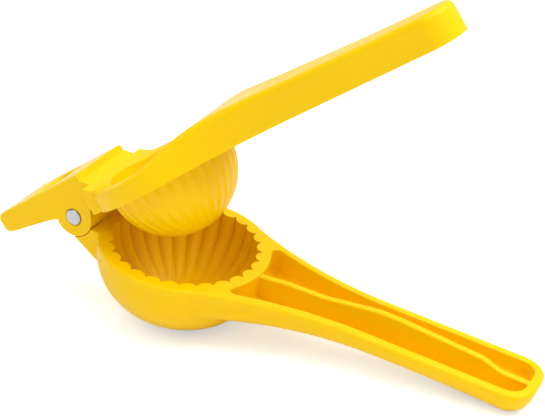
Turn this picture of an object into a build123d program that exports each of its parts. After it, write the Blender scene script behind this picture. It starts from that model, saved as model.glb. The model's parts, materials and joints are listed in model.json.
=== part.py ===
from build123d import *
from math import atan2, cos, degrees, radians, sin, sqrt
import os

# A hinged citrus squeezer: a fluted bowl on a pocketed lower handle, and a hollow fluted press dome on an
# upper handle, joined by a steel pin behind the bowl.
# Both mouldings are drawn level, with the origin at the middle of the bowl's rim, the handles along +X and
# the hinge on -X. At the end the arm is swung open about the pin and the whole is stood on the table.

# ---- Driving dimensions (mm, degrees) ----

# bowl
bowl_radius = 36.7            # outside of the rim
bowl_straight = 4.0           # upright part of the outside, under the rim
bowl_depth = 34.8             # rim to the lowest point of the round outside
bowl_side_slack = 2.2         # round of its side, smaller than the depth under the upright part by this
bowl_wall = 4.4               # at the rim, to the bottom of the notches between the flutes
bowl_floor = 2.8
cavity_side_slack = 4.0
bowl_flutes = 28
flute_radius = 3.9            # round back of one flute
flute_set_back = 1.7          # middle of that round, behind the bottom of the notches
flute_fade = 0.5              # how far the flutes have sunk into the wall by the pole
flute_end = 58.0              # the flutes run on this far round the lower part of the hollow, degrees
rim_round = 1.5               # outer edge of the rim, all round the moulding
drain_hole_radius = 1.7
drain_ring_radii = (6.5, 12.0)
drain_ring_counts = (6, 12)

# lower handle
lower_reach = 158.5           # bowl axis to the end of the handle
lower_half_width = 15.2
lower_flare_radius = 160.0    # hollow curve from the bowl into the handle
lower_end_radius = 11.0
arch_radius = 640.0           # long arch of the underside
arch_from_end = 46.5          # top of that arch, from the end of the handle
arch_depth = 10.5             # rim to underside, at the top of the arch
lower_bottom_round = 8.8
lower_draft = 10.0            # its sides draw in downwards, degrees
pocket_wall = 4.3
pocket_floor = 3.5
pocket_bowl_wall = 4.1        # moulding left between the bowl's notches and the pockets
pocket_bottom_round = 2.2
pocket_corner_round = 2.4
pocket_edge_round = 0.6
web_thickness = 3.0
web_rise = ((2.1, -0.8), (13.6, 0.4), (28.6, 0.8), (52.6, 4.5), (62.6, 4.5))     # from the start of the pockets
web_fall = ((23.5, 2.2), (16.5, -0.8))     # back from the end of the handle
web_crest_round = 16.0
web_edge_round = 0.8

# hinge
pin_radius = 3.5
pin_beyond_bowl = 7.9         # pin axis outside the rim
pin_height = 2.8              # pin axis above the rim
pin_proud = 0.4               # end of the pin outside the cheek
pin_edge = 0.3
hinge_width = 34.4
tongue_width = 16.0
tongue_radius = 8.5
cheek_radius = 8.7
neck_slope = 31.5             # underside of the neck, degrees
neck_arm = 7.05               # pin axis to the line of that underside
running_gap = 0.06            # pin in the cheeks, on the radius
side_gap = 0.35               # cheek beside tongue
seat_gap = 0.35               # cheek over its seat, knuckle under the hinge block
bore_chamfer = 0.5
cheek_drop = 1.4              # inner corner of the cheek, below the pin axis

# press ring and dome
ring_set_in = 3.3             # ring inside the outside of the rim
ring_gap = 0.4                # ring above the rim when drawn level
flange_set_in = 2.6           # foot of the leaning face towards the hinge, from the rear of the ring
flange_lean = 15.5
flange_step = 5.3             # beside the cheeks
flange_corner = 3.0
dome_gap = 4.8                # from the bottom of the bowl's notches
dome_wall = 2.8
dome_flutes = 32
dome_flute_radius = 8.0
dome_flute_depth = 0.4
dome_flute_inset = 0.13       # the flutes follow a circle set in and down by these two, so that they
dome_flute_sink = 0.27        # narrow and run out towards the pole
dome_flute_end = 64.0         # the flutes stop this far round towards the pole, degrees
lip_round = 1.5

# upper handle: crest of the side view, over the ring and along the handle to the nose
crest_rear = ((-0.6, 15.6), (2.8, 14.6), (5.8, 12.0), (9.4, 9.9))     # from the rear of the ring
crest_middle = ((-16.0, 8.5), (-6.0, 8.2), (6.0, 8.7), (14.0, 10.1))     # from its axis
crest_front = (               # from its front
    (-12.4, 12.1), (-5.4, 13.6), (2.6, 14.3), (13.6, 14.3), (26.6, 13.8), (46.6, 12.9), (70.6, 11.8),
    (94.6, 11.1),
)
crest_end = 10.6              # height where the crest line ends
crest_run_out = 1.1           # past the nose
upper_reach = 147.9           # bowl axis to the nose
nose_half_width = 10.4
nose_radius = 9.5
upper_taper = 1.8             # sides draw in towards the nose, degrees
upper_flare_radius = 110.0
upper_nose_drop = 2.4         # the lower edge runs this far down from the ring to the nose
shoulder_drop = 0.7           # and this far down where the handle leaves the ring
upper_round = 2.6
upper_wall = 2.6
hollow_round = 2.0

# tail
tail_length = 38.6            # pin axis to the tip of the tail
hinge_top = 18.1              # top of the hinge block above the rim
ridge_set_in = 2.0            # top of the hinge block ends above the ring, this far from its rear
tail_tip_height = 9.1         # underside of the tail at its tip
tail_root_height = 5.3        # and at the cheeks
tail_tip_round = 3.2
tail_edge_round = 1.6
hole_near = 6.0               # hanging hole, from the pin axis
hole_far = 20.5
hole_width = 22.0
hole_corner = 3.0
hole_edge_round = 1.2

# pose and table
rest_opening = 42.8           # the arm stands this far open from level
table_pitch = 8.5             # the rim falls towards the handle by this angle
foot_cut = 1.2                # level flat taken off the round bottom

past = 2.0                    # cutters run this far past a face
start_height = 4.0            # the cutters of the hollows start this far above the rim
match = 0.2                   # two measures nearer than this are the same one

# ---- Derived positions ----

cavity_radius = bowl_radius - bowl_wall
cavity_depth = bowl_depth - bowl_floor
bowl_side_round = bowl_depth - bowl_straight - bowl_side_slack
cavity_side_round = cavity_depth - bowl_straight - cavity_side_slack
flute_centre = cavity_radius + flute_set_back
pocket_start = cavity_radius + pocket_bowl_wall
arch_x = lower_reach - arch_from_end
web_crest = [(pocket_start + x, z) for x, z in web_rise] + [(lower_reach - x, z) for x, z in web_fall]
pin_x = -bowl_radius - pin_beyond_bowl
pin_z = pin_height
half_hinge = hinge_width / 2
half_tongue = tongue_width / 2
seat_radius = cheek_radius + seat_gap
ring_radius = bowl_radius - ring_set_in
flange_x = flange_set_in - ring_radius
flange_half_width = half_hinge + flange_step
dome_radius = cavity_radius - dome_gap
cup_radius = dome_radius - dome_wall
ridge_x = ridge_set_in - ring_radius
tail_reach = -pin_x + tail_length
crest = [(x - ring_radius, z) for x, z in crest_rear] + list(crest_middle)
crest += [(x + ring_radius, z) for x, z in crest_front] + [(upper_reach + crest_run_out, crest_end)]


def belly(half_width, drop, side_round):
    """Two arcs from the upright side to the bottom: radius of the lower one, and its angle."""
    lower = (half_width ** 2 + drop ** 2 - 2 * half_width * side_round) / (2 * (drop - side_round))
    return lower, degrees(atan2(half_width - side_round, lower - drop))


# where the moulding stands: it rests on the round bottom and on the end of the lower handle
pitch = radians(table_pitch)
under_radius = belly(bowl_radius, bowl_depth - bowl_straight, bowl_side_round)[0]
under_centre = under_radius - bowl_depth
rim_to_table = under_radius - under_centre * cos(pitch) - foot_cut
foot_x = under_centre * sin(pitch)
stand = Location((-foot_x, 0, rim_to_table)) * Location((0, 0, 0), (0, table_pitch, 0))
pin_place = Location((pin_x, 0, pin_z))
open_arm = pin_place * Location((0, 0, 0), (0, -rest_opening, 0)) * pin_place.inverse()


def arch_z(x, inside=0.0):
    """Height of the handle's arched underside at x, raised by a floor thickness."""
    return sqrt(arch_radius ** 2 - (x - arch_x) ** 2) - arch_radius - arch_depth + inside


def belly_section(half_width, top, straight, depth, side_round):
    """Lines of half a round bowl's section, from the bottom of its axis to its edge and back down the side."""
    lower, angle = belly(half_width, depth - straight, side_round)
    Polyline((0, -depth), (0, top), (half_width, top), (half_width, -straight))
    CenterArc((0, lower - depth), lower, -90, angle)
    CenterArc((half_width - side_round, -straight), side_round, angle - 90, 90 - angle)


def handle_plan(circle_radius, flare_radius, reach, half_width, end_radius, taper, inset=0.0):
    """Plan of a handle that flares out of a round body and ends round, drawn in from its outline by inset."""
    lean = radians(taper)
    end = reach - inset
    corner = (end, half_width - inset * (1 - sin(lean)) / cos(lean))
    across = reach * sin(lean) + half_width * cos(lean) + flare_radius
    along = sqrt((circle_radius + flare_radius) ** 2 - across ** 2)
    centre_x = across * sin(lean) + along * cos(lean)
    centre_y = across * cos(lean) - along * sin(lean)
    share = (circle_radius - inset) / (circle_radius + flare_radius)
    on_circle = (centre_x * share, centre_y * share)
    flare = flare_radius + inset
    on_side = (centre_x - flare * sin(lean), centre_y - flare * cos(lean))
    with BuildSketch() as plan:
        with BuildLine():
            Line((0, 0), on_circle)
            TangentArc(on_side, on_circle, tangent=(-cos(lean), sin(lean)))
            Polyline(on_side, corner, (end, 0), (0, 0))
        make_face()
        mirror(about=Plane.XZ)
        fillet(plan.vertices().group_by(Axis.X)[-1], radius=end_radius - inset)
    return plan.sketch


def crest_line(drop=0.0):
    """Points along the top of the press arm, lowered by a wall thickness."""
    return [(x, z - drop) for x, z in crest]


# ---- Lower moulding: bowl, neck and pocketed handle ----

lower_outline = (bowl_radius, lower_flare_radius, lower_reach, lower_half_width, lower_end_radius, 0.0)
lower_plan = handle_plan(*lower_outline)
pocket_outline = handle_plan(*lower_outline, inset=pocket_wall)

with BuildPart() as lower_grip:
    add(lower_plan)
    extrude(amount=-bowl_depth, taper=lower_draft)
    with BuildSketch(Plane.XZ) as grip_side:
        with BuildLine():
            Polyline((lower_reach, arch_z(lower_reach)), (lower_reach, past), (0, past), (0, arch_z(0)))
            ThreePointArc((0, arch_z(0)), (arch_x, arch_z(arch_x)), (lower_reach, arch_z(lower_reach)))
        make_face()
    extrude(amount=bowl_radius, both=True, mode=Mode.INTERSECT)
    underside = lower_grip.faces().sort_by(Axis.Z)[0]
    fillet(underside.edges().filter_by(lambda e: e.center().X > cavity_radius), radius=lower_bottom_round)
    top_side = lower_grip.faces().sort_by(Axis.Z)[-1].edges().filter_by(lambda e: e.center().X > bowl_radius)
    fillet(top_side, radius=rim_round)

# the pockets, as one hollow; the web is set back into it
with BuildPart() as pocket:
    with BuildSketch(Plane.XY.offset(past)) as pocket_plan:
        add(pocket_outline)
        Circle(pocket_start, mode=Mode.SUBTRACT)
        fillet(pocket_plan.vertices().group_by(Axis.X)[0], radius=pocket_corner_round)
    extrude(amount=-bowl_depth)
    with BuildSketch(Plane.XZ) as pocket_side:
        with BuildLine():
            floor_end = (lower_reach, arch_z(lower_reach, pocket_floor))
            floor_start = (0, arch_z(0, pocket_floor))
            Polyline(floor_end, (lower_reach, start_height), (0, start_height), floor_start)
            ThreePointArc(floor_start, (arch_x, arch_z(arch_x, pocket_floor)), floor_end)
        make_face()
    extrude(amount=bowl_radius, both=True, mode=Mode.INTERSECT)
    fillet(pocket.faces().sort_by(Axis.Z)[0].edges(), radius=pocket_bottom_round)

with BuildPart() as web:
    with BuildSketch(Plane.XZ) as web_side:
        with BuildLine():
            root_start = cavity_radius + pocket_bowl_wall / 2
            root_end = lower_reach - pocket_wall / 2
            web_line = Polyline((root_start, web_crest[0][1]), *web_crest, (root_end, web_crest[-1][1]))
            low_start = (root_start, arch_z(root_start, pocket_floor / 2))
            low_end = (lower_reach - lower_bottom_round, arch_z(lower_reach, pocket_floor / 2))
            Polyline(web_line @ 1, (root_end, -bowl_straight), low_end)
            ThreePointArc(low_end, (arch_x, arch_z(arch_x, pocket_floor / 2)), low_start)
            Line(low_start, web_line @ 0)
        make_face()
        crest_x = [x for x, z in web_crest]
        crest_corners = web_side.vertices().filter_by(lambda v: crest_x[0] - past < v.X < crest_x[-1] + past)
        fillet(crest_corners.filter_by(lambda v: v.Y > web_crest[0][1] - past), radius=web_crest_round)
    extrude(amount=web_thickness / 2, both=True)

# the hollow of the bowl, with its flutes standing in from the wall
with BuildPart() as flute:
    flute_drop = cavity_depth - bowl_straight + flute_radius + flute_fade
    flute_side = cavity_side_round + flute_radius
    flute_lower, flute_angle = belly(flute_centre, flute_drop, flute_side)
    with BuildLine(Plane.XZ) as flute_path:
        Line((flute_centre, start_height), (flute_centre, -bowl_straight))
        CenterArc((flute_centre - flute_side, -bowl_straight), flute_side, 0, flute_angle - 90)
        CenterArc((0, flute_lower - flute_drop - bowl_straight), flute_lower, flute_angle - 90, -flute_end)
    with BuildSketch(Plane.XY.offset(start_height)):
        with Locations((flute_centre, 0)):
            Circle(flute_radius)
    sweep(path=flute_path.line)

with BuildPart() as cavity:
    with BuildSketch(Plane.XZ) as cavity_section:
        with BuildLine():
            belly_section(cavity_radius, past, bowl_straight, cavity_depth, cavity_side_round)
        make_face()
    revolve(axis=Axis.Z)
    with PolarLocations(0, bowl_flutes, start_angle=180 / bowl_flutes):
        add(flute.part, mode=Mode.SUBTRACT)

slope = radians(neck_slope)
neck_foot = (pin_x - neck_arm * sin(slope), pin_z - neck_arm * cos(slope))
neck_inner_x = -cavity_radius * cos(slope)
neck_inner = (neck_inner_x, neck_foot[1] - (neck_inner_x - neck_foot[0]) * sin(slope) / cos(slope))

with BuildPart() as bowl_handle:
    with BuildSketch(Plane.XZ) as bowl_section:
        with BuildLine():
            belly_section(bowl_radius, 0, bowl_straight, bowl_depth, bowl_side_round)
        make_face()
        rim_corner = bowl_section.vertices().filter_by(lambda v: v.X > cavity_radius).sort_by(Axis.Y)[-1]
        fillet(rim_corner, radius=rim_round)
    revolve(axis=Axis.Z)
    add(lower_grip.part)
    # level flats it stands on
    split(bisect_by=Plane(stand.inverse()), keep=Keep.TOP)
    # neck between the bowl and the hinge, hollowed to seat the cheeks
    with BuildSketch(Plane.XZ) as neck_side:
        Polygon(neck_foot, neck_inner, (neck_inner[0], 0), (pin_x, 0), align=None)
    extrude(amount=half_hinge, both=True)
    with BuildSketch(Plane.XZ):
        with Locations((pin_x, pin_z)):
            Circle(seat_radius)
    extrude(amount=half_hinge, both=True, mode=Mode.SUBTRACT)
    # tongue between the cheeks
    with BuildSketch(Plane.XZ):
        add(neck_side.sketch)
        with Locations((pin_x, pin_z)):
            Circle(tongue_radius)
    extrude(amount=half_tongue, both=True)
    add(cavity.part, mode=Mode.SUBTRACT)
    add(pocket.part, mode=Mode.SUBTRACT)
    add(web.part)
    # drain holes
    with BuildSketch(Plane.XY):
        for ring, count in zip(drain_ring_radii, drain_ring_counts):
            with PolarLocations(ring, count, start_angle=180 / count):
                Circle(drain_hole_radius)
    extrude(amount=-bowl_depth, mode=Mode.SUBTRACT)
    # bore for the pin
    with BuildSketch(Plane.XZ):
        with Locations((pin_x, pin_z)):
            Circle(pin_radius)
    extrude(amount=half_hinge, both=True, mode=Mode.SUBTRACT)
    # rounded edges of the pockets and of the web
    rim_face = bowl_handle.faces().filter_by(Plane.XY).filter_by(lambda f: abs(f.center().Z) < match)
    rim_face = rim_face.sort_by(SortBy.AREA)[-1]
    pocket_edges = rim_face.edges().filter_by(
        lambda e: e.bounding_box().max.X > bowl_radius and e not in rim_face.outer_wire().edges())
    fillet(pocket_edges, radius=pocket_edge_round)
    web_edges = bowl_handle.edges().filter_by(
        lambda e: abs(abs(e.center().Y) - web_thickness / 2) < match and e.center().X > cavity_radius
        and e.center().Z > web_crest[0][1] - match and e.bounding_box().size.Y < match)
    fillet(web_edges, radius=web_edge_round)

# ---- Upper moulding: tail, cheeks, press ring with its dome, and the arm ----

upper_outline = (ring_radius, upper_flare_radius, upper_reach, nose_half_width, nose_radius, upper_taper)
hollow_outline = handle_plan(*upper_outline, inset=upper_wall)
nose_bottom = ring_gap - upper_nose_drop
bridge_bottom = tail_root_height
bridge_start = crest[0][0]
bridge_end = crest[3][0]

with BuildSketch() as arm_plan:
    add(handle_plan(*upper_outline))
    Circle(ring_radius)

# side view of the arm, in the plane of its length and height
with BuildSketch() as arm_side:
    with BuildLine():
        crest_curve = Spline(*crest_line())
        Polyline(crest_curve @ 1, (crest[-1][0], nose_bottom), (ring_radius, ring_gap - shoulder_drop),
                 (flange_x, ring_gap), (bridge_start, ring_gap), crest_curve @ 0)
    make_face()

with BuildPart() as dome_flute:
    flute_path_radius = dome_radius + dome_flute_radius - dome_flute_depth
    with BuildLine(Plane.XZ) as dome_path:
        Line((flute_path_radius, start_height), (flute_path_radius, ring_gap - dome_flute_sink))
        CenterArc((-dome_flute_inset, ring_gap - dome_flute_sink), flute_path_radius + dome_flute_inset, 0,
                  -dome_flute_end)
    with BuildSketch(Plane.XY.offset(start_height)):
        with Locations((flute_path_radius, 0)):
            Circle(dome_flute_radius)
    sweep(path=dome_path.line)

with BuildPart() as dome:
    with BuildSketch(Plane.XZ):
        with BuildLine():
            Polyline((0, ring_gap - dome_radius), (0, past), (dome_radius, past), (dome_radius, ring_gap))
            RadiusArc((dome_radius, ring_gap), (0, ring_gap - dome_radius), dome_radius)
        make_face()
    revolve(axis=Axis.Z)
    with PolarLocations(0, dome_flutes):
        add(dome_flute.part, mode=Mode.SUBTRACT)

with BuildPart() as arm_hollow:
    with BuildSketch(Plane.XY.offset(-start_height)) as hollow_plan:
        add(hollow_outline)
        Circle(ring_radius - upper_wall + match, mode=Mode.SUBTRACT)
        fillet(hollow_plan.vertices().group_by(Axis.X)[0], radius=hollow_round)
    extrude(amount=hinge_width)
    with BuildSketch(Plane.XZ.offset(-ring_radius)):
        with BuildLine():
            inner_curve = Spline(*crest_line(upper_wall))
            Polyline(inner_curve @ 1, (crest[-1][0], -hinge_width), (bridge_start, -hinge_width), inner_curve @ 0)
        make_face()
    extrude(amount=2 * ring_radius, mode=Mode.INTERSECT)

with BuildPart() as press_handle:
    # ring and handle
    with BuildSketch(Plane.XY.offset(-past)) as ring_plan:
        add(arm_plan.sketch)
        with Locations((flange_x / 2, 0)):
            Rectangle(-flange_x, 2 * flange_half_width)
        fillet(ring_plan.vertices().group_by(Axis.X)[0], radius=flange_corner)
    extrude(amount=hinge_width)
    with BuildSketch(Plane.XZ.offset(-ring_radius - past)):
        add(arm_side.sketch)
    extrude(amount=2 * (ring_radius + past), mode=Mode.INTERSECT)
    lean = radians(flange_lean)
    split(bisect_by=Plane(origin=(flange_x, 0, ring_gap), z_dir=(cos(lean), 0, -sin(lean))), keep=Keep.TOP)
    crest_face = press_handle.faces().filter_by(GeomType.EXTRUSION).sort_by(SortBy.AREA)[-1]
    fillet(crest_face.outer_wire().edges().filter_by(lambda e: e.center().X > bridge_end), radius=upper_round)
    # bridge from the ring to the hinge block
    with BuildSketch(Plane.XZ.offset(-half_hinge)):
        add(arm_side.sketch)
        Polygon((bridge_start, bridge_bottom), (bridge_end, bridge_bottom), (bridge_end, hinge_top),
                (bridge_start, hinge_top), align=None, mode=Mode.INTERSECT)
    extrude(amount=hinge_width)
    # hinge block: tail, top and cheeks
    with BuildSketch(Plane.XZ) as block_side:
        with BuildLine():
            Polyline(
                (-tail_reach, tail_tip_height), (-tail_reach, hinge_top), (ridge_x, hinge_top),
                (ridge_x, bridge_bottom), (pin_x + seat_radius + seat_gap, pin_z - cheek_drop),
                (pin_x + cheek_radius * cos(slope), pin_z - cheek_radius * sin(slope)), (pin_x, pin_z),
                (pin_x - seat_radius - seat_gap, tail_root_height), (-tail_reach, tail_tip_height))
        make_face()
        fillet(block_side.vertices().group_by(Axis.X)[0], radius=tail_tip_round)
        with Locations((pin_x, pin_z)):
            Circle(cheek_radius)
    extrude(amount=half_hinge, both=True)
    tail_edges = press_handle.edges().filter_by(
        lambda e: e.center().X < tail_tip_round - tail_reach or e.center().Z > hinge_top - match)
    fillet(tail_edges.filter_by(lambda e: abs(e.center().Y) > half_tongue), radius=tail_edge_round)
    add(dome.part)
    # hollow of the dome
    with BuildSketch(Plane.XZ):
        with BuildLine():
            Polyline((0, ring_gap - cup_radius), (0, hinge_width), (cup_radius, hinge_width),
                     (cup_radius, ring_gap))
            RadiusArc((cup_radius, ring_gap), (0, ring_gap - cup_radius), cup_radius)
        make_face()
    revolve(axis=Axis.Z, mode=Mode.SUBTRACT)
    add(arm_hollow.part, mode=Mode.SUBTRACT)
    # room for the tongue
    with BuildSketch(Plane.XZ):
        with Locations((pin_x, pin_z)):
            Circle(tongue_radius + seat_gap)
        Polygon((pin_x - tongue_radius - seat_gap, -hinge_width), (flange_x, -hinge_width),
                (flange_x, bridge_bottom), (pin_x, bridge_bottom), (pin_x, pin_z),
                (pin_x - tongue_radius - seat_gap, pin_z), align=None)
    extrude(amount=half_tongue + side_gap, both=True, mode=Mode.SUBTRACT)
    # hanging hole
    with BuildSketch(Plane.XY.offset(hinge_top + past)) as hole_plan:
        with Locations((pin_x - (hole_near + hole_far) / 2, 0)):
            RectangleRounded(hole_far - hole_near, hole_width, hole_corner)
    extrude(amount=-hinge_width, mode=Mode.SUBTRACT)
    top_face = press_handle.faces().filter_by(Plane.XY).sort_by(Axis.Z)[-1]
    fillet(top_face.inner_wires()[0].edges(), radius=hole_edge_round)
    # bores for the pin
    with BuildSketch(Plane.XZ):
        with Locations((pin_x, pin_z)):
            Circle(pin_radius + running_gap)
    extrude(amount=half_hinge, both=True, mode=Mode.SUBTRACT)
    mouths = press_handle.edges().filter_by(GeomType.CIRCLE).filter_by(
        lambda e: abs(e.radius - pin_radius - running_gap) < match and abs(e.center().Y) > half_tongue + past)
    chamfer(mouths, length=bore_chamfer)
    # rounded lip of the cup
    wall = press_handle.faces().filter_by(GeomType.CYLINDER).filter_by(
        lambda f: f.radius and abs(f.radius - cup_radius) < match and f.center().Z > ring_gap)
    fillet(wall[0].edges().filter_by(lambda e: e.center().Z > ring_gap + past), radius=lip_round)

# ---- Pin ----

with BuildPart() as hinge_pin:
    with BuildSketch(Plane.XZ):
        with Locations((pin_x, pin_z)):
            Circle(pin_radius)
    extrude(amount=half_hinge + pin_proud, both=True)
    chamfer(hinge_pin.edges().filter_by(GeomType.CIRCLE), length=pin_edge)

# ---- Opening the arm and standing the whole on the table ----

os.makedirs("parts", exist_ok=True)

standing_bowl = bowl_handle.part.moved(stand)
standing_bowl.label = "bowl_handle"
export_step(standing_bowl, "parts/bowl_handle.step")

open_press = press_handle.part.moved(stand * open_arm)
open_press.label = "press_handle"
export_step(open_press, "parts/press_handle.step")

standing_pin = hinge_pin.part.moved(stand)
standing_pin.label = "hinge_pin"
export_step(standing_pin, "parts/hinge_pin.step")
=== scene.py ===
import json
import math

import bmesh
import bpy
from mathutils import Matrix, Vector

# A hinged citrus squeezer in glossy yellow plastic, standing open on a white table.
# Everything is in metres. +X runs along the lower handle, +Y across, +Z up.

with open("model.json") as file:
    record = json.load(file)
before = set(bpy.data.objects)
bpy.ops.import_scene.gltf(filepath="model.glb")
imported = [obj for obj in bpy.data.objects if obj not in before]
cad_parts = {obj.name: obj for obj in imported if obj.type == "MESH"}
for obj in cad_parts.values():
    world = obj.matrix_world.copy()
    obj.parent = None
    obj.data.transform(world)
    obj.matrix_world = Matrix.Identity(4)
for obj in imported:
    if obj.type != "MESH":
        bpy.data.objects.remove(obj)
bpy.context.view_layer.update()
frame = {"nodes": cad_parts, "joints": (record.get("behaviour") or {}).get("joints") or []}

MM = 0.001

# ---- Camera, lamps and table: places in metres, powers in watts ----

IMAGE_WIDTH = 545
SENSOR_WIDTH = 36.0           # mm
CAMERA_FOCUS = 1600.0         # focal length in widths of one pixel
CAMERA_PLACE = (0.3023, -0.5040, 0.3510)
CAMERA_TURN = (62.79, 0.139, 27.46)      # degrees about X, Y and Z

KEY_PLACE = (-0.25, -0.55, 1.10)
KEY_SIZE = 0.90
KEY_POWER = 3.7
TOP_PLACE = (0.42, 0.22, 1.10)
TOP_SIZE = 1.20
TOP_POWER = 13.5
SIDE_PLACE = (1.10, -0.55, 0.45)
SIDE_SIZE = 0.60
SIDE_POWER = 0.9
LAMP_AIM = (0.03, 0, 0.05)    # the lamps point here, over the bowl
ROOM_LIGHT = 0.50             # strength of the white room
ROOM_WHITE = "FFFFFF"
FLOOR_SIZE = 6.0
FLOOR_DROP = 0.0001           # the table top lies this far under the standing flats
FLOOR_WHITE = "FAFAFA"
FLOOR_LIFT = 0.49             # brightness the eye adds to a white table
FLOOR_COOL = "DAF0FF"         # and its tint, which balances the yellow thrown back by the plastic

# ---- Surface sizes ----

PIGMENT_CLOUD = 45 * MM       # slow change of colour through the moulding
PIGMENT_CHANGE = 0.35         # share of the deeper yellow at most
FLOW_SPACING = 9 * MM         # flow lines left by the melt along the handles
FLOW_STRETCH = (0.15, 1.0, 1.0)
FLOW_SHARE = 0.6              # their height against the orange peel's
PEEL_SPACING = 1.6 * MM       # faint orange peel of a polished mould
PEEL_HEIGHT = 0.006 * MM
HANDLING_SPACING = 14 * MM    # patches worn duller by hands
SCRATCH_SPACING = 0.9 * MM    # fine hairlines, drawn wider than real ones so that they show
HAIRLINE_STRETCH = (0.06, 1.0, 1.0)
HAIRLINE_TURN = (0.3, 0.2, 0.5)          # radians
DOME_FLUTES = 32              # polished scoops round the outside of the press dome
DOME_RADIUS = 27.5 * MM
FLUTE_POLISH = 0.30 * MM      # how much deeper polishing makes a scoop look
FLUTE_FADE_START = 20.0 * MM  # the scoops fade from this far off the dome's axis
FLUTE_FADE_END = 12.0 * MM    # and are gone here
SHELL_HALF = 1.2 * MM         # the scoops lie this near to the dome's round
DOME_FROM_PIN = (44.6 * MM, -2.4 * MM)   # middle of the dome's mouth, along the arm and up from the pin
ARM_RISE = 34.3               # degrees, the arm over the table when it stands open
WAVE_RINGS = 20               # rings that the wave texture draws in one of its own units
TOOL_MARK_SPACING = 0.35 * MM # turning marks on the faced end of the pin
TOOL_MARK_HEIGHT = 0.003 * MM
SMEAR_SPACING = 1.5 * MM      # finger marks on the end of the pin
LAMINATE_GRAIN = 2 * MM       # fine unevenness of the table top

# ---- Finishes ----

YELLOW = "FACC00"
DEEP_YELLOW = "F5C400"        # where the pigment lies a little thicker
STEEL = "C9CBD0"
DULL_STEEL = "AFB2B8"
PLASTIC_IOR = 1.53
PLASTIC_GLINT = 0.13          # share of the full reflection, which a worn mould leaves
PLASTIC_ROUGH = (0.27, 0.37)  # from the polished places to those dulled by hands
HAIRLINE_ROUGH = 0.06         # what a hairline adds
STEEL_ROUGH = (0.26, 0.40)
LAMINATE_ROUGH = (0.75, 0.85)
MIX_COLOURS = (6, 7)          # the colour mixer's sockets: its two colours
MIX_RESULT = 2


def linear(hex_colour):
    """An sRGB hex colour as the linear RGBA that a shader takes."""
    channels = [int(hex_colour[i:i + 2], 16) / 255 for i in (0, 2, 4)]
    return [c / 12.92 if c <= 0.04045 else ((c + 0.055) / 1.055) ** 2.4 for c in channels] + [1.0]


def add_node(tree, kind, settings=None, links=None):
    """A new shader node with its settings and the sockets that feed it."""
    made = tree.nodes.new(kind)
    for name, value in (settings or {}).items():
        if isinstance(name, str) and hasattr(made, name):
            setattr(made, name, value)
        else:
            made.inputs[name].default_value = value
    for name, source in (links or {}).items():
        tree.links.new(source, made.inputs[name])
    return made


def new_material(name):
    """An empty material and its node tree."""
    material = bpy.data.materials.new(name)
    material.use_nodes = True
    material.node_tree.nodes.clear()
    return material, material.node_tree


def step(tree, operation, first, second=None):
    """One step of arithmetic on shader values; each of the two is a socket or a number."""
    given = {0: first, 1: second}
    numbers = {slot: value for slot, value in given.items() if isinstance(value, (int, float))}
    sockets = {slot: value for slot, value in given.items() if isinstance(value, bpy.types.NodeSocket)}
    return add_node(tree, "ShaderNodeMath", {"operation": operation, **numbers}, sockets).outputs["Value"]


def noise(tree, place, spacing, detail):
    """Soft noise whose patches lie about one spacing apart."""
    made = add_node(tree, "ShaderNodeTexNoise", {"Scale": 1 / spacing, "Detail": detail}, {"Vector": place})
    return made.outputs["Fac"]


def spread(tree, value, given, wanted):
    """A value carried from one range, low and high, to another, and held inside it."""
    ranges = {"From Min": given[0], "From Max": given[1], "To Min": wanted[0], "To Max": wanted[1]}
    return add_node(tree, "ShaderNodeMapRange", ranges, {"Value": value}).outputs["Result"]


def stretched(tree, place, scale, rotation=(0, 0, 0)):
    """The place, turned and scaled, for a pattern that runs one way."""
    made = add_node(tree, "ShaderNodeMapping", {"Scale": scale, "Rotation": rotation}, {"Vector": place})
    return made.outputs["Vector"]


def blend(tree, share, first, second):
    """One sRGB hex colour running into another."""
    made = add_node(tree, "ShaderNodeMix", {"data_type": "RGBA"}, {"Factor": share})
    made.inputs[MIX_COLOURS[0]].default_value = linear(first)
    made.inputs[MIX_COLOURS[1]].default_value = linear(second)
    return made.outputs[MIX_RESULT]


def dome_scoops(tree, place, centre):
    """Height of the scoops round the press dome: round hollows with a crisp ridge between each two."""
    arm_turn = (0, -math.radians(ARM_RISE), 0)
    local = add_node(tree, "ShaderNodeMapping",
                     {"vector_type": "TEXTURE", "Location": centre, "Rotation": arm_turn},
                     {"Vector": place}).outputs["Vector"]
    parts = add_node(tree, "ShaderNodeSeparateXYZ", None, {"Vector": local}).outputs
    turn = step(tree, "ARCTAN2", parts["Y"], parts["X"])
    hollow = step(tree, "ABSOLUTE", step(tree, "COSINE", step(tree, "MULTIPLY", turn, DOME_FLUTES / 2)))
    off_centre = add_node(tree, "ShaderNodeVectorMath", {"operation": "LENGTH"}, {0: local}).outputs["Value"]
    off_round = step(tree, "ABSOLUTE", step(tree, "SUBTRACT", off_centre, DOME_RADIUS))
    on_dome = step(tree, "LESS_THAN", off_round, SHELL_HALF)
    below_mouth = step(tree, "LESS_THAN", parts["Z"], 0.0)
    flat = add_node(tree, "ShaderNodeCombineXYZ", None, {"X": parts["X"], "Y": parts["Y"]}).outputs["Vector"]
    off_axis = add_node(tree, "ShaderNodeVectorMath", {"operation": "LENGTH"}, {0: flat}).outputs["Value"]
    fade = spread(tree, off_axis, (FLUTE_FADE_END, FLUTE_FADE_START), (0.0, 1.0))
    where = step(tree, "MULTIPLY", step(tree, "MULTIPLY", on_dome, below_mouth), fade)
    return step(tree, "MULTIPLY", step(tree, "MULTIPLY", hollow, where), -1.0)


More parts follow.
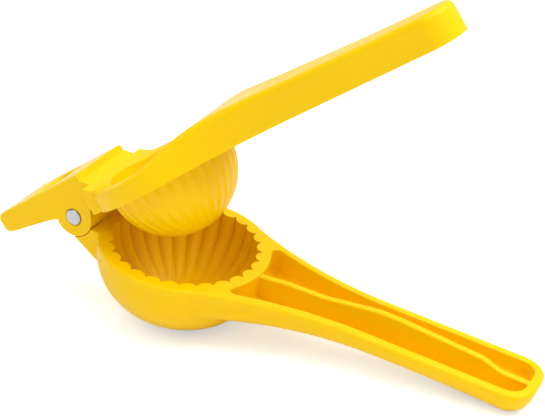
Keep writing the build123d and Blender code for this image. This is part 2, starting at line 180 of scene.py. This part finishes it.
def moulded_abs(name, body, deep, dome_centre=None):
    """Injection-moulded ABS from a polished mould: even bright pigment, a gloss that hands have dulled in
    patches, hairline scratches, faint flow lines along the part and a slight orange peel. Where the middle of
    the dome's mouth is given, the scoops round the dome are brought out as well."""
    material, tree = new_material(name)
    place = add_node(tree, "ShaderNodeTexCoord").outputs["Object"]
    cloud = noise(tree, place, PIGMENT_CLOUD, 3.0)
    colour = blend(tree, spread(tree, cloud, (0.3, 0.7), (0.0, PIGMENT_CHANGE)), body, deep)
    hairline = noise(tree, stretched(tree, place, HAIRLINE_STRETCH, HAIRLINE_TURN), SCRATCH_SPACING, 2.0)
    worn = spread(tree, noise(tree, place, HANDLING_SPACING, 5.0), (0.35, 0.7), PLASTIC_ROUGH)
    rough = step(tree, "ADD", worn, spread(tree, hairline, (0.62, 0.72), (0.0, HAIRLINE_ROUGH)))
    flow = noise(tree, stretched(tree, place, FLOW_STRETCH), FLOW_SPACING, 2.0)
    peel = noise(tree, place, PEEL_SPACING, 1.0)
    relief = step(tree, "ADD", step(tree, "MULTIPLY", flow, FLOW_SHARE), peel)
    bump = add_node(tree, "ShaderNodeBump", {"Strength": 1.0, "Distance": PEEL_HEIGHT}, {"Height": relief})
    if dome_centre:
        scoops = dome_scoops(tree, place, dome_centre)
        bump = add_node(tree, "ShaderNodeBump", {"Strength": 1.0, "Distance": FLUTE_POLISH},
                        {"Height": scoops, "Normal": bump.outputs["Normal"]})
    surface = add_node(tree, "ShaderNodeBsdfPrincipled",
                       {"IOR": PLASTIC_IOR, "Specular IOR Level": PLASTIC_GLINT},
                       {"Base Color": colour, "Roughness": rough, "Normal": bump.outputs["Normal"]})
    add_node(tree, "ShaderNodeOutputMaterial", None, {"Surface": surface.outputs["BSDF"]})
    return material


def turned_steel(name, centre):
    """Stainless rod, faced on a lathe: rings round the axis, a satin sheen and a few handling marks."""
    material, tree = new_material(name)
    place = add_node(tree, "ShaderNodeTexCoord").outputs["Object"]
    centred = add_node(tree, "ShaderNodeMapping", {"Location": [-c for c in centre]}, {"Vector": place})
    rings = add_node(tree, "ShaderNodeTexWave",
                     {"wave_type": "RINGS", "rings_direction": "Y", "Distortion": 0.4,
                      "Scale": 1 / (WAVE_RINGS * TOOL_MARK_SPACING)}, {"Vector": centred.outputs["Vector"]})
    smear = noise(tree, place, SMEAR_SPACING, 4.0)
    bump = add_node(tree, "ShaderNodeBump", {"Strength": 1.0, "Distance": TOOL_MARK_HEIGHT},
                    {"Height": rings.outputs["Fac"]})
    surface = add_node(tree, "ShaderNodeBsdfPrincipled", {"Metallic": 1.0},
                       {"Base Color": blend(tree, smear, STEEL, DULL_STEEL),
                        "Roughness": spread(tree, smear, (0.3, 0.7), STEEL_ROUGH),
                        "Normal": bump.outputs["Normal"]})
    add_node(tree, "ShaderNodeOutputMaterial", None, {"Surface": surface.outputs["BSDF"]})
    return material


def white_table(name):
    """Matt white laminate: it keeps the soft shadow of what stands on it and runs out to white."""
    material, tree = new_material(name)
    place = add_node(tree, "ShaderNodeTexCoord").outputs["Object"]
    grain = noise(tree, place, LAMINATE_GRAIN, 2.0)
    top = add_node(tree, "ShaderNodeBsdfPrincipled",
                   {"Base Color": linear(FLOOR_WHITE), "Specular IOR Level": 0.1},
                   {"Roughness": spread(tree, grain, (0.0, 1.0), LAMINATE_ROUGH)})
    seen = add_node(tree, "ShaderNodeLightPath").outputs["Is Camera Ray"]
    glow = add_node(tree, "ShaderNodeEmission", {"Color": linear(FLOOR_COOL)},
                    {"Strength": step(tree, "MULTIPLY", seen, FLOOR_LIFT)})
    both = add_node(tree, "ShaderNodeAddShader", None, {0: top.outputs["BSDF"], 1: glow.outputs["Emission"]})
    add_node(tree, "ShaderNodeOutputMaterial", None, {"Surface": both.outputs["Shader"]})
    return material


def dress(node_name, material):
    """Gives a CAD node its finish."""
    mesh = frame["nodes"][node_name].data
    mesh.materials.clear()
    mesh.materials.append(material)


def lay_table():
    """The white table top under the squeezer."""
    mesh = bpy.data.meshes.new("table_top")
    shape = bmesh.new()
    bmesh.ops.create_grid(shape, x_segments=1, y_segments=1, size=FLOOR_SIZE / 2)
    bmesh.ops.translate(shape, verts=shape.verts, vec=(0, 0, -FLOOR_DROP))
    shape.to_mesh(mesh)
    shape.free()
    mesh.materials.append(white_table("white_laminate"))
    table = bpy.data.objects.new("table_top", mesh)
    bpy.context.scene.collection.objects.link(table)


def softbox(name, place, size, power):
    """A square studio light aimed at the bowl."""
    lamp = bpy.data.lights.new(name, "AREA")
    lamp.shape = "SQUARE"
    lamp.size = size
    lamp.energy = power
    light = bpy.data.objects.new(name, lamp)
    light.location = place
    light.rotation_euler = (Vector(LAMP_AIM) - Vector(place)).to_track_quat("-Z", "Y").to_euler()
    bpy.context.scene.collection.objects.link(light)


def white_room():
    """Even white surroundings, brighter to the eye than as a light."""
    world = bpy.data.worlds.new("white_room")
    world.use_nodes = True
    tree = world.node_tree
    tree.nodes.clear()
    seen = add_node(tree, "ShaderNodeLightPath").outputs["Is Camera Ray"]
    strength = spread(tree, seen, (0.0, 1.0), (ROOM_LIGHT, 1.0))
    sky = add_node(tree, "ShaderNodeBackground", {"Color": linear(ROOM_WHITE)}, {"Strength": strength})
    add_node(tree, "ShaderNodeOutputWorld", None, {"Surface": sky.outputs["Background"]})
    bpy.context.scene.world = world


def place_camera():
    """The studio camera, looking down on the bowl from the front, over the lower handle."""
    optics = bpy.data.cameras.new("studio_camera")
    optics.sensor_width = SENSOR_WIDTH
    optics.lens = CAMERA_FOCUS * SENSOR_WIDTH / IMAGE_WIDTH
    camera = bpy.data.objects.new("studio_camera", optics)
    camera.location = CAMERA_PLACE
    camera.rotation_euler = [math.radians(turn) for turn in CAMERA_TURN]
    bpy.context.scene.collection.objects.link(camera)
    bpy.context.scene.camera = camera


pin_centre = frame["joints"][0]["pos_m"]
rise = math.radians(ARM_RISE)
along_arm, above_arm = DOME_FROM_PIN
dome_centre = (pin_centre[0] + along_arm * math.cos(rise) - above_arm * math.sin(rise), 0.0,
               pin_centre[2] + along_arm * math.sin(rise) + above_arm * math.cos(rise))
dress("bowl_handle", moulded_abs("glossy_yellow_abs", YELLOW, DEEP_YELLOW))
dress("press_handle", moulded_abs("glossy_yellow_abs_fluted", YELLOW, DEEP_YELLOW, dome_centre))
dress("hinge_pin", turned_steel("turned_stainless", pin_centre))

lay_table()
softbox("key_softbox", KEY_PLACE, KEY_SIZE, KEY_POWER)
softbox("top_softbox", TOP_PLACE, TOP_SIZE, TOP_POWER)
softbox("side_softbox", SIDE_PLACE, SIDE_SIZE, SIDE_POWER)
white_room()
place_camera()
bpy.context.scene.view_settings.view_transform = "Standard"
